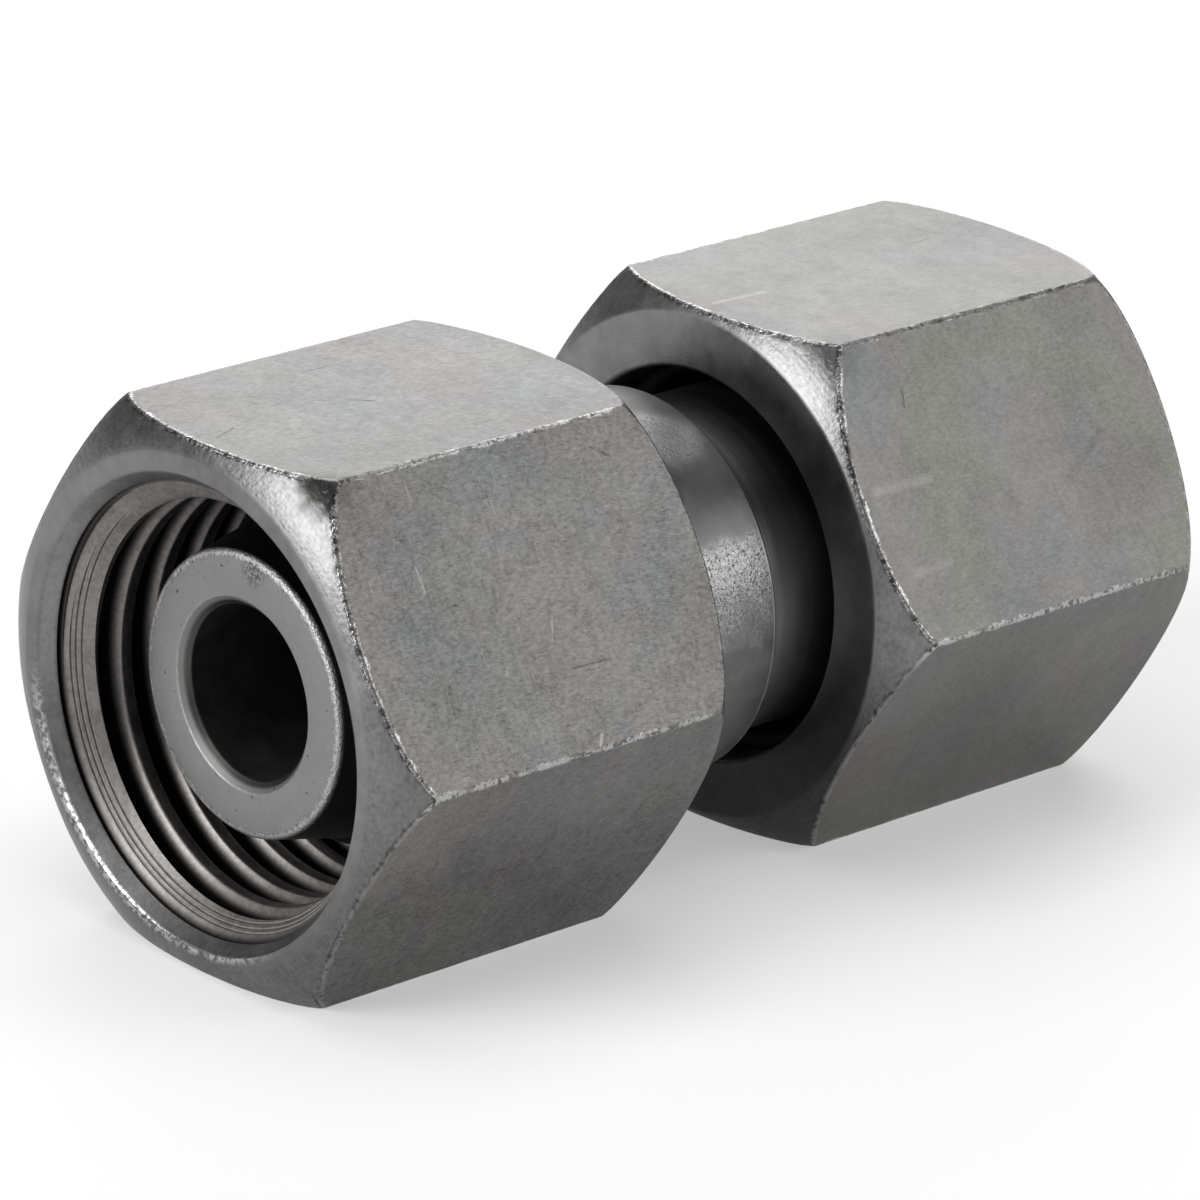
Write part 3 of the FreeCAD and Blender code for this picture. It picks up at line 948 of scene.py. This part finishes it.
# Painted shade: a ragged dark patch at one upper corner, where the worn-round corner turns from the
# light
def paintedCornerShade(spot, wearAndShade):
    finish = nutFinish
    middle, reach, amount = wearAndShade["cornerShade"]
    fromMiddle = vectorCalc("DISTANCE", spot.place, middle)
    ragged = plus(fromMiddle, wobble(spot.coarse, finish["cornerShadeEdge"]))
    onFlat = finish["cornerShadeOnFlat"]
    return times(
        fall(ragged, reach * finish["cornerShadeCore"], reach),
        rise(spot.speckle, *finish["cornerShadeBreaks"]),
        plus(onFlat, times(spot.onEnd, 1.0 - onFlat)),
        amount,
    )


# The stretch of the mouth's rim that is worn bright
def mouthWear(spot):
    finish = nutFinish
    angle = finish["mouthWearAngle"]
    lowLeft = plus(times(spot.x, math.cos(angle)), times(spot.z, math.sin(angle)))
    return times(
        rise(calc("DIVIDE", lowLeft, spot.radius), *finish["mouthWearTurn"]),
        fall(spot.radius, *finish["mouthWearRadii"]),
        fall(spot.y, *finish["mouthWearDepth"]),
        rise(spot.speckle, *finish["mouthWearBreaks"]),
    )


# Bore: grey flare with painted light on its left side, near black in the undercut behind it (partly
# dirt, partly painted shade), painted shade in the thread's roots and at the bore's top, pinkish lead-in
# and crests
def boreColour(spot):
    finish, core, flareEnd, leadIn = nutFinish, nut["coreRadius"], nut["mouthDepth"], nut["leadInStart"]
    dirtNear, dirtFar = finish["rootShade"]
    threadNear, threadFar = finish["threadStart"]
    # painted shade in the thread's roots
    groove = times(
        rise(spot.boreRadius, core + dirtNear, core + dirtFar),
        rise(spot.y, leadIn + threadNear, leadIn + threadFar),
    )
    # the undercut's dark, partly dirt and partly painted shade
    before, after = finish["undercutSpill"]
    undercut = band(spot.y, flareEnd - before, leadIn + after)
    pastFlare = rise(spot.y, flareEnd, leadIn)
    # painted light on the left side of the flare
    flareLeftLight = times(
        fall(spot.x, *finish["flareLightSide"]),
        fall(spot.y, flareEnd - finish["flareLightDepth"], flareEnd),
    )
    bore = shade(mixColour(pastFlare, finish["steel"], finish["bore"]), plus(
        1.0, wobble(spot.mottle, finish["boreTone"]), wobble(spot.speckle, finish["boreTone"]),
        times(flareLeftLight, finish["flareLightTone"]),
        # painted shade on the top of the bore
        times(rise(spot.z, *finish["boreTopShade"]), pastFlare, finish["boreTopShadeTone"]),
    ))
    return mixColour(highest(groove, undercut), bore, finish["groove"]), groove


def nutHeight(spot, wearAndShade):
    finish, amount = nutFinish, wearAndShade["flatGrain"]
    flatGrain, flatMottle = finish["flatHeights"]
    onFlats = plus(wobble(spot.grain, flatGrain * amount), wobble(spot.mottle, flatMottle * amount))
    endSpeckle, endMottle, endRings = finish["endHeights"]
    onEnds = plus(
        times(wobble(spot.speckle, endSpeckle), spot.onChamfers),
        wobble(spot.mottle, endMottle), times(spot.rings, endRings),
    )
    edgeGrain, edgeSpeckle = finish["edgeHeights"]
    onEdges = plus(wobble(spot.grain, edgeGrain), wobble(spot.speckle, edgeSpeckle))
    return plus(
        times(onFlats, minus(1.0, spot.onEnd)), times(onEnds, spot.onEnd),
        times(onEdges, fall(spot.fromEdge, *finish["edgeHeightReach"])),
    )


# Steel of a nut: dull flats with a mottled oxide, turned ends, and edges worn bright, with painted shade
# low down, at one corner, beside the edges and in the thread, and painted highlight on the chamfers and
# end faces
def nutMetal(name, mouth, turned, seed, wearAndShade, marks):
    finish = nutFinish
    material, shader, place = startMetal(name, mouth, turned)
    spot = nutSpot(place, seed)
    worn, grimeAndShade = edgeWearAndShade(spot, wearAndShade)
    bright = highest(worn, mouthWear(spot))
    bore, groove = boreColour(spot)
    colour = mixColour(spot.onEnd, flatColour(spot, wearAndShade, marks), endColour(spot, wearAndShade))
    # the dark line along the edges, partly grime and partly painted shade
    colour = mixColour(times(grimeAndShade, finish["grimeShadeTone"]), colour, finish["dirtAndShade"])
    colour = mixColour(bright, colour, finish["worn"])
    # painted shade at one upper corner
    colour = mixColour(paintedCornerShade(spot, wearAndShade), colour, finish["dirtAndShade"])
    colour = mixColour(spot.inBore, colour, bore)
    flatRoughness = finish["flatRoughness"]
    roughness = plus(
        flatRoughness,
        times(spot.onEnd, finish["endRoughness"] - flatRoughness),
        times(bright, finish["wornRoughness"] - flatRoughness),
        times(groove, spot.inBore, finish["grooveRoughness"]),
        wobble(spot.mottle, finish["mottleRoughness"]),
    )
    finishMetal(shader, colour, roughness, nutHeight(spot, wearAndShade))
    return material


# The stem's dark top matches the nut's shade in one photo and is no dirt
bodyFinish = {
    "nose": (0.235, 0.231, 0.230, 1),
    # near black: painted shade on the nose cone inside the nut and on the bore's chamfer
    "cone": (0.06, 0.06, 0.058, 1),
    "stem": (0.27, 0.266, 0.262, 1),
    "bore": (0.10, 0.094, 0.090, 1),
    "collar": (0.16, 0.158, 0.157, 1),
    "pit": (0.03, 0.03, 0.03, 1),
    "worn": (0.42, 0.42, 0.415, 1),
    "roughness": 0.42,
    "noseRoughness": 0.03,  # this and the next come on top of it
    "patchRoughness": -0.06,
    "boreRoughness": 0.08,
    "edgeRoughness": 0.15,  # on the nose's inner edge
    "edgeWidth": (0.3, 0.4),
    "mottleRoughness": 0.04,
    "mottle": (0.5, 4, 0.6, 21),  # each noise's size in millimetres, detail, roughness and seed
    "speckle": (0.10, 2, 0.6, 22),
    "grit": (0.05, 2, 0.7, 26),
    "specks": (0.14, 1, 0.5, 23),
    "patchGrain": (0.07, 1, 0.6, 28),
    "rimBreaks": (0.08, 2, 0.7, 24),
    "pits": (0.055, 2, 0.7, 29),
    "flecks": (0.045, 1, 0.6, 33),
    "lineDrift": (2.0, 1, 0.5, 30),
    "broadRings": ((30.0, 0.12, 30.0), 3, 0.6, 31),
    "noseEnd": (0.25, 0.12),  # how far back from the end face its finish reaches
    "boreEdge": (0.02, 0.1),
    "collarEnd": (0.35, 0.2),
    "collarSkin": (0.1, 0.02),
    "speckLimits": (0.24, 0.30),
    "pitPatch": (0.45, 4.65),  # middle of the pitted patch on a nose, as x and z
    "pitPatchReach": (0.2, 0.8),
    "patchGrainLimits": (0.46, 0.54),
    "rimStart": (0.36, 0.18),  # inside the nose's outer edge
    "rimGrit": (0.34, 0.42),
    "noseTones": (0.06, 0.05),  # of the mottle and speckle
    "speckTone": 0.7,
    "rimMiddle": 0.06,
    "rimWidth": (0.05, 0.18),
    "rimWander": 0.16,
    "rimTone": 0.85,
    "chamferRimWidth": (0.0, 0.05),
    "chamferRimWander": 0.05,
    "chamferRimTone": 0.35,
    "noseStep": (0.12, 0.22),  # a dark ring round the bore, painted shade on its chamfer
    "noseStepTone": 0.35,
    "topPatch": (2.6, 1.0, 6.5),  # middle of the pitted patch on top of the collar, which also gets a painted highlight
    "topPatchReach": (0.9, 2.0),
    # painted highlight on the top patch
    "topHighlightTone": 0.95,
    "sidePatchLow": (-1.6, 2.4),  # lower edge of the patch at the side,
    "sidePatchHigh": (3.0, 4.2),  # its upper edge
    "sidePatchSide": (0.0, 1.0),  # and its left edge
    "patchWander": 0.35,
    "patchLimits": (0.1, 1.0),
    "patchRearEnd": (2.6, 2.9),  # stations where both patches end
    "pitLimits": (0.30, 0.46),
    "pitTone": 0.62,
    "fleckLimits": (0.58, 0.70),
    "collarTone": 0.88,
    # lift of the patches, partly their rough finish and partly painted highlight
    "patchHighlightTone": 0.62,
    "patchGrit": 0.8,
    "fleckTone": 0.7,
    "collarMottle": 0.22,
    "linePace": 38.0,  # of the tool's rings on the stem, in radians per millimetre
    "lineDriftSize": 4.0,
    "coneStart": 0.1,
    "stemTone": 1.35,
    "lineTone": 0.03,
    "broadTone": 0.14,
    "stemTopShade": (2.2, 4.4),  # heights between no and full painted shade
    "stemTopShadeTone": -0.95,
    "boreTone": 0.3,
    "mottleHeight": 0.002,
    "patchHeight": 0.004,
    "pitHeight": -0.008,
    "ringHeight": 0.01,
    "speckHeight": -0.006,
    "rimHeight": 0.012,
}


# What the body's finish depends on at a place
def bodySpot(place):
    finish, bore = bodyFinish, body["boreRadius"]
    spot = SimpleNamespace(place=place)
    spot.x, spot.y, spot.z, spot.radius = sidesOf(place)
    spot.along = calc("ABSOLUTE", spot.y)
    for name in ("mottle", "speckle", "grit"):
        setattr(spot, name, noise(place, *finish[name]))
    noseFar, noseNear = (body["length"] / 2 - gap for gap in finish["noseEnd"])
    edgeIn, edgeOut = (bore + gap for gap in finish["boreEdge"])
    collarNear, collarFar = (body["collarLength"] / 2 - gap for gap in finish["collarEnd"])
    skinIn, skinOut = (body["collarRadius"] - gap for gap in finish["collarSkin"])
    spot.onNose = times(rise(spot.along, noseFar, noseNear), rise(spot.radius, edgeIn, edgeOut))
    spot.inBore = fall(spot.radius, edgeIn, edgeOut)
    spot.onCollar = times(fall(spot.along, collarNear, collarFar), rise(spot.radius, skinIn, skinOut))
    rimIn, rimOut = (body["noseFaceRadius"] - gap for gap in finish["rimStart"])
    spot.onRim = rise(spot.radius, rimIn, rimOut)
    return spot


# Nose: even grey, small dark specks, a pitted patch and a worn rim
def noseColour(spot):
    finish, bore = bodyFinish, body["boreRadius"]
    specks = fall(noise(spot.place, *finish["specks"]), *finish["speckLimits"])
    aside = minus(spot.x, finish["pitPatch"][0])
    below = minus(spot.z, finish["pitPatch"][1])
    fromPatch = calc("SQRT", plus(times(aside, aside), times(below, below)))
    patchGrain = rise(noise(spot.place, *finish["patchGrain"]), *finish["patchGrainLimits"])
    scuffs = highest(
        times(fall(fromPatch, *finish["pitPatchReach"]), patchGrain),
        times(spot.onRim, fall(spot.grit, *finish["rimGrit"])),
    )
    dark = highest(specks, scuffs)
    mottleTone, speckleTone = finish["noseTones"]
    nose = shade(finish["nose"], plus(
        1.0, wobble(spot.mottle, mottleTone), wobble(spot.speckle, speckleTone),
    ))
    nose = mixColour(times(dark, finish["speckTone"]), nose, finish["pit"])
    fromRim = calc("ABSOLUTE", minus(spot.radius, body["noseFaceRadius"] - finish["rimMiddle"]))
    rimBreaks = wobble(noise(spot.place, *finish["rimBreaks"]), finish["rimWander"])
    rim = fall(plus(fromRim, rimBreaks), *finish["rimWidth"])
    fromChamfer = calc("ABSOLUTE", minus(spot.radius, bore + body["boreChamfer"]))
    chamferBreaks = wobble(spot.speckle, finish["chamferRimWander"])
    chamferRim = fall(plus(fromChamfer, chamferBreaks), *finish["chamferRimWidth"])
    stepStart, stepEnd = (bore + gap for gap in finish["noseStep"])
    step = band(spot.radius, stepStart, stepEnd)
    # painted shade on the bore's chamfer
    nose = mixColour(times(step, finish["noseStepTone"]), nose, finish["cone"])
    bright = highest(times(rim, finish["rimTone"]), times(chamferRim, finish["chamferRimTone"]))
    return mixColour(bright, nose, finish["worn"]), dark


# Collar: speckled patches with dark pits, partly brightened as painted highlight, and smooth bands
# between
def collarColour(spot):
    finish = bodyFinish
    topPatch = fall(vectorCalc("DISTANCE", spot.place, finish["topPatch"]), *finish["topPatchReach"])
    sidePatch = times(
        rise(spot.z, *finish["sidePatchLow"]), fall(spot.z, *finish["sidePatchHigh"]),
        rise(spot.x, *finish["sidePatchSide"]),
    )
    ragged = plus(highest(topPatch, sidePatch), wobble(spot.mottle, finish["patchWander"]))
    patches = times(rise(ragged, *finish["patchLimits"]), fall(spot.y, *finish["patchRearEnd"]))
    pits = fall(noise(spot.place, *finish["pits"]), *finish["pitLimits"])
    flecks = rise(noise(spot.place, *finish["flecks"]), *finish["fleckLimits"])
    # the patches' lift: partly their rough finish, partly painted highlight
    inPatch = plus(
        finish["patchHighlightTone"], wobble(spot.grit, finish["patchGrit"]), times(flecks, finish["fleckTone"]),
    )
    collar = shade(finish["collar"], plus(
        finish["collarTone"], times(patches, inPatch),
        # painted highlight on top of the collar
        times(topPatch, finish["topHighlightTone"]), wobble(spot.mottle, finish["collarMottle"]),
    ))
    collar = mixColour(times(pits, patches, finish["pitTone"]), collar, finish["pit"])
    return collar, patches, pits


# Stem: rings left by the tool, near-black painted shade on the nose cone inside the nut, and painted
# shade on its top
def stemColour(spot):
    finish = bodyFinish
    drift = times(noise(spot.place, *finish["lineDrift"]), finish["lineDriftSize"])
    lines = calc("SINE", plus(times(spot.y, finish["linePace"]), drift))
    broad = noise(spot.place, *finish["broadRings"])
    coneStart = body["length"] / 2 - body["noseLength"]
    # near-black painted shade on the nose cone inside the nut
    onCone = rise(spot.along, coneStart - finish["coneStart"], coneStart)
    stem = shade(mixColour(onCone, finish["stem"], finish["cone"]), plus(
        finish["stemTone"], times(lines, finish["lineTone"]), wobble(broad, finish["broadTone"]),
        # painted shade on the stem's top
        times(rise(spot.z, *finish["stemTopShade"]), finish["stemTopShadeTone"]),
    ))
    return stem, broad


# Steel of the turned body: smooth nose faces, fine rings on the stem, a rough collar, with painted shade
# on the nose cone and the stem's top and painted highlight on the collar
def bodyMetal(name):
    finish = bodyFinish
    material, shader, place = startMetal(name)
    spot = bodySpot(place)
    nose, dark = noseColour(spot)
    collar, patches, pits = collarColour(spot)
    stem, broad = stemColour(spot)
    onPatches = times(spot.onCollar, patches)
    bore = shade(finish["bore"], plus(1.0, wobble(spot.mottle, finish["boreTone"])))
    colour = mixColour(spot.onCollar, stem, collar)
    colour = mixColour(spot.onNose, colour, nose)
    colour = mixColour(spot.inBore, colour, bore)
    edgeNear, edgeFar = (body["boreRadius"] + gap for gap in finish["edgeWidth"])
    roughness = plus(
        finish["roughness"], times(spot.onNose, finish["noseRoughness"]),
        times(onPatches, finish["patchRoughness"]), times(spot.inBore, finish["boreRoughness"]),
        times(spot.onNose, fall(spot.radius, edgeNear, edgeFar), finish["edgeRoughness"]),
        wobble(spot.mottle, finish["mottleRoughness"]),
    )
    offNose = minus(1.0, spot.onNose)
    onStem = minus(1.0, highest(spot.onCollar, spot.onNose))
    height = plus(
        times(wobble(spot.mottle, finish["mottleHeight"]), offNose),
        times(wobble(spot.grit, finish["patchHeight"]), onPatches),
        times(pits, onPatches, finish["pitHeight"]),
        times(broad, finish["ringHeight"], onStem),
        times(dark, finish["speckHeight"], spot.onNose),
        times(wobble(spot.grit, finish["rimHeight"]), spot.onRim, spot.onNose),
    )
    finishMetal(shader, colour, roughness, height)
    return material


wireFinish = {
    "dark": (0.012, 0.012, 0.012, 1),
    "pale": (0.025, 0.024, 0.024, 1),
    "glint": (0.3, 0.3, 0.3, 1),
    "lines": ((20.0, 0.05, 20.0), 2, 0.6, 41),
    "skin": (0.6, 3, 0.6, 42),
    "skinLimits": (0.35, 0.65),
    "lineTone": 0.2,
    "roughness": 0.55,
    "skinRoughness": 0.06,
    "lineHeight": 0.003,
    "skinHeight": 0.004,
}


# Drawn wire: fine lines round the ring and a dark skin
def wireMetal(name):
    finish = wireFinish
    material, shader, place = startMetal(name)
    shader.inputs["Specular Tint"].default_value = finish["glint"]
    lines = noise(place, *finish["lines"])
    skin = noise(place, *finish["skin"])
    colour = mixColour(rise(skin, *finish["skinLimits"]), finish["dark"], finish["pale"])
    colour = shade(colour, plus(1.0, wobble(lines, finish["lineTone"])))
    roughness = plus(finish["roughness"], wobble(skin, finish["skinRoughness"]))
    height = plus(wobble(lines, finish["lineHeight"]), wobble(skin, finish["skinHeight"]))
    finishMetal(shader, colour, roughness, height)
    return material


rubberFinish = {
    "black": (0.012, 0.012, 0.012, 1),
    "faded": (0.035, 0.035, 0.036, 1),
    "bloom": (0.8, 4, 0.65, 51),
    "bloomLimits": (0.45, 0.75),
    "grain": (0.06, 2, 0.6, 52),
    "roughness": 0.5,
    "bloomRoughness": 0.08,
    "grainHeight": 0.002,
}


# Nitrile rubber: near black, with a faint bloom
def sealRubber(name):
    finish = rubberFinish
    material, shader, place = startMetal(name)
    shader.inputs["Metallic"].default_value = 0.0
    bloom = noise(place, *finish["bloom"])
    colour = mixColour(rise(bloom, *finish["bloomLimits"]), finish["black"], finish["faded"])
    roughness = plus(finish["roughness"], wobble(bloom, finish["bloomRoughness"]))
    finishMetal(shader, colour, roughness, wobble(noise(place, *finish["grain"]), finish["grainHeight"]))
    return material


# Brings a piece to metres and puts it in the place of its plain solid
def finishPiece(piece, name, node, bodyName, sharpAngle=30):
    makeActive(piece)
    piece.name = name
    piece.scale = [1 / perMetre] * 3
    bpy.ops.object.transform_apply(location=True, rotation=True, scale=True)
    bpy.ops.object.shade_smooth_by_angle(angle=math.radians(sharpAngle))
    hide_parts(node)
    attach(piece, bodyName)


def copyPiece(piece):
    copy = piece.copy()
    copy.data = piece.data.copy()
    bpy.context.scene.collection.objects.link(copy)
    return copy


def placeNut(piece, mouth, halfTurns):
    makeActive(piece)
    piece.rotation_euler = (0, 0, halfTurns * math.pi)
    piece.location = (0, mouth, 0)
    bpy.ops.object.transform_apply(location=True, rotation=True, scale=True)


frontMouth = millimetres(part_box("front_union_nut")[0]).y
rearMouth = millimetres(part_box("rear_union_nut")[1]).y

frontNut = makeNut()
rearNut = copyPiece(frontNut)
placeNut(frontNut, frontMouth, 0)
placeNut(rearNut, rearMouth, 1)
print("nuts:", len(frontNut.data.polygons), "faces each")
turnedBody = makeBody()
print("body:", len(turnedBody.data.polygons), "faces")
finishPiece(frontNut, "frontUnionNut", "front_union_nut", "front_nut")
finishPiece(rearNut, "rearUnionNut", "rear_union_nut", "rear_nut")
finishPiece(turnedBody, "turnedBody", "body", "body")


def dress(piece, material):
    piece.data.materials.clear()
    piece.data.materials.append(material)


dress(frontNut, nutMetal("frontNutSteel", frontMouth, False, 0, frontWearAndShade, frontMarks))
dress(rearNut, nutMetal("rearNutSteel", rearMouth, True, 40, rearWearAndShade, rearMarks))
dress(turnedBody, bodyMetal("turnedSteel"))
wire, rubber = wireMetal("drawnWire"), sealRubber("nitrileRubber")
for side in ("front", "rear"):
    dress(bpy.data.objects[side + "_retaining_ring"], wire)
    dress(bpy.data.objects[side + "_o_ring"], rubber)
print("finishes: nuts, body, wire rings and O-rings dressed")

# Floor, light and camera
studio = {
    "floorColour": (0.9, 0.9, 0.895, 1),
    "floorShine": 0.40,  # share of plain white in what is seen of the floor
    "floorRoughness": 0.9,
    "floorSize": 3.0,
    "worldGrey": 0.19,
    "lampDistance": 0.5,
}


def makeFloor():
    deselectAll()
    bpy.ops.mesh.primitive_plane_add(size=studio["floorSize"], location=(0, 0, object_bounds()[0].z))
    floor = bpy.context.active_object
    floor.name = "studioFloor"
    material = bpy.data.materials.new("paleFloor")
    material.use_nodes = True
    tree = material.node_tree
    shader = tree.nodes["Principled BSDF"]
    shader.inputs["Base Color"].default_value = studio["floorColour"]
    shader.inputs["Roughness"].default_value = studio["floorRoughness"]
    rays = addNode(tree, "LightPath").outputs
    seen = highest(rays["Is Camera Ray"], rays["Is Glossy Ray"], rays["Is Transmission Ray"])
    white = addNode(tree, "Emission", {"Strength": 1.0})
    mixed = addNode(tree, "MixShader", {
        0: times(seen, studio["floorShine"]),
        1: shader.outputs["BSDF"],
        2: white.outputs["Emission"],
    })
    tree.links.new(mixed.outputs["Shader"], tree.nodes["Material Output"].inputs["Surface"])
    floor.data.materials.append(material)


def makeWorld():
    world = bpy.data.worlds.new("studioWorld")
    bpy.context.scene.world = world
    world.use_nodes = True
    grey = studio["worldGrey"]
    world.node_tree.nodes["Background"].inputs["Color"].default_value = (grey, grey, grey, 1)


# Softboxes: which way they stand from the object, their width and height in metres, and how
# bright they look
softboxes = {
    "overheadSoftbox": ((0.0, 0.0, 1.0), 0.45, 0.45, 2.2),
    "backSoftbox": ((-0.678, 0.641, 0.36), 0.36, 0.2, 4.2),
    "sideSoftbox": ((0.66, 0.641, 0.33), 0.30, 0.26, 3.1),
    "frontSoftbox": ((-0.2, -0.87, 0.42), 0.28, 0.32, 7.6),
}


def addSoftbox(name, direction, width, height, brightness):
    light = bpy.data.lights.new(name, "AREA")
    light.shape = "RECTANGLE"
    light.size, light.size_y = width, height
    light.energy = brightness * math.pi * width * height
    box = bpy.data.objects.new(name, light)
    away = Vector(direction).normalized()
    box.location = away * studio["lampDistance"]
    box.rotation_euler = away.to_track_quat("Z", "Y").to_euler()
    bpy.context.scene.collection.objects.link(box)


# The camera's place, fitted to the photograph, in radians and metres
view = {
    "azimuth": 0.8144,
    "elevation": 0.3681,
    "roll": 0.0426,
    "distance": 0.25863,
    "aim": (0, 0.002736, 0),
    "shiftRight": -0.0013186,
    "shiftUp": -0.0007141,
    "focalPixels": 7299.77,
    "photoPixels": 1200,
    "sensor": 36.0,  # millimetres
    "clip": (0.01, 10),
}


def makeCamera():
    azimuth, elevation, roll = view["azimuth"], view["elevation"], view["roll"]
    forward = Vector((
        -math.sin(azimuth) * math.cos(elevation),
        math.cos(azimuth) * math.cos(elevation),
        -math.sin(elevation),
    ))
    level = Vector((math.cos(azimuth), math.sin(azimuth), 0))
    upright = level.cross(forward)
    right = math.cos(roll) * level + math.sin(roll) * upright
    up = -math.sin(roll) * level + math.cos(roll) * upright
    camera = bpy.data.objects.new("camera", bpy.data.cameras.new("camera"))
    camera.data.sensor_width = view["sensor"]
    camera.data.lens = view["sensor"] * view["focalPixels"] / view["photoPixels"]
    camera.data.clip_start, camera.data.clip_end = view["clip"]
    rotation = camera.rotation_euler.to_matrix()
    rotation.col[0], rotation.col[1], rotation.col[2] = right, up, -forward
    camera.rotation_euler = rotation.to_euler()
    camera.location = (
        Vector(view["aim"]) - forward * view["distance"]
        + right * view["shiftRight"] + up * view["shiftUp"]
    )
    bpy.context.scene.collection.objects.link(camera)
    bpy.context.scene.camera = camera


makeFloor()
makeWorld()
for name, (direction, width, height, brightness) in softboxes.items():
    addSoftbox(name, direction, width, height, brightness)
makeCamera()
bpy.context.scene.view_settings.view_transform = "Standard"
print("studio: floor, world,", len(softboxes), "softboxes and camera")
